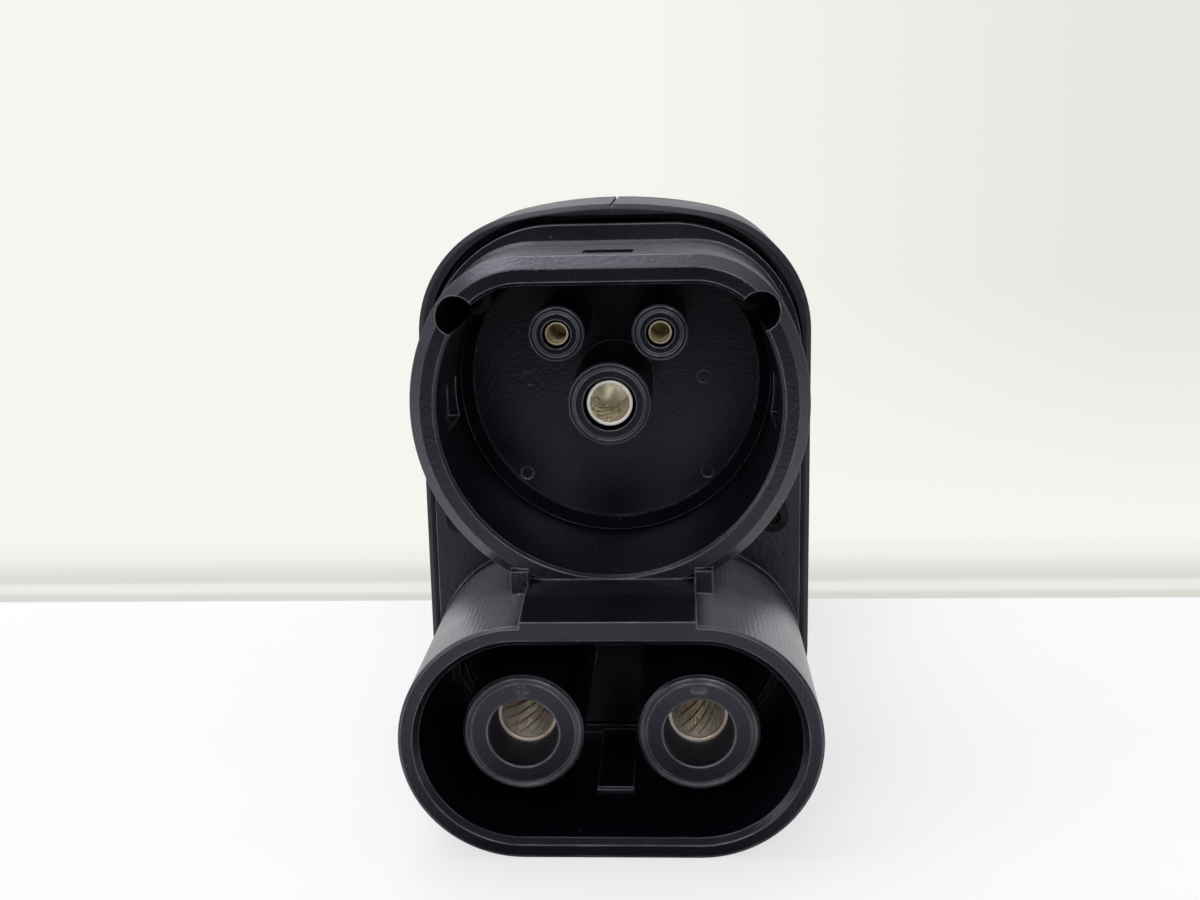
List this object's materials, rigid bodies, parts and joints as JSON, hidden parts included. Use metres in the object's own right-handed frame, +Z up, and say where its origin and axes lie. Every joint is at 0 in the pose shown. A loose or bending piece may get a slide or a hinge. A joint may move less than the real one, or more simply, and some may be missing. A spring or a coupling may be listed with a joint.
{
  "type": "electric vehicle charging adapter",
  "caption": "Passive charging adapter: combined plug face with upper signal shroud and lower power shroud, clamshell handle, and a combined inlet at the back.",
  "frame": {"origin": "on the resting surface, under the middle of the adapter", "axes": "+Z up, -Y out of the plug face, +X to the right seen from the front"},
  "size_m": [0.0708, 0.15, 0.097],
  "materials": {
    "shell_plastic": "matte black",
    "handle_plastic": "fine grained black",
    "carrier_plastic": "matte black",
    "retainer_plastic": "natural white",
    "seal": "soft black",
    "steel": "zinc plated",
    "contact_metal": "silver plated",
    "spring_metal": "silver plated bronze",
    "copper": "bare copper",
    "board": "green solder mask",
    "resistor": "glossy lacquer",
    "green_wire": "satin",
    "wire": "satin"
  },
  "bodies": {
    "root": {"board_resistors": "resistor", "cp_front_wire": "wire", "cp_rear_wire": "wire", "cp_socket": "contact_metal", "cp_spring": "spring_metal", "dc_minus_busbar": "copper", "dc_minus_socket": "contact_metal", "dc_minus_spring": "spring_metal", "dc_plus_busbar": "copper", "dc_plus_socket": "contact_metal", "dc_plus_spring": "spring_metal", "flange_screws": "steel", "front_connector_body": "shell_plastic", "front_gasket": "seal", "left_shell": "handle_plastic", "lower_contact_carrier": "carrier_plastic", "lower_contact_retainer": "retainer_plastic", "pe_conductor": "green_wire", "pe_socket": "contact_metal", "pe_spring": "spring_metal", "pp_front_wire": "wire", "pp_rear_wire": "wire", "pp_socket": "contact_metal", "pp_spring": "spring_metal", "rear_contact_core": "carrier_plastic", "rear_cp_pin": "contact_metal", "rear_dc_minus_pin": "contact_metal", "rear_dc_plus_pin": "contact_metal", "rear_gasket": "seal", "rear_inlet_body": "shell_plastic", "rear_pe_pin": "contact_metal", "rear_pp_pin": "contact_metal", "right_shell": "handle_plastic", "shell_screws": "steel", "signal_board": "board", "upper_contact_carrier": "carrier_plastic", "upper_contact_retainer": "retainer_plastic"}
  },
  "joints": []
}
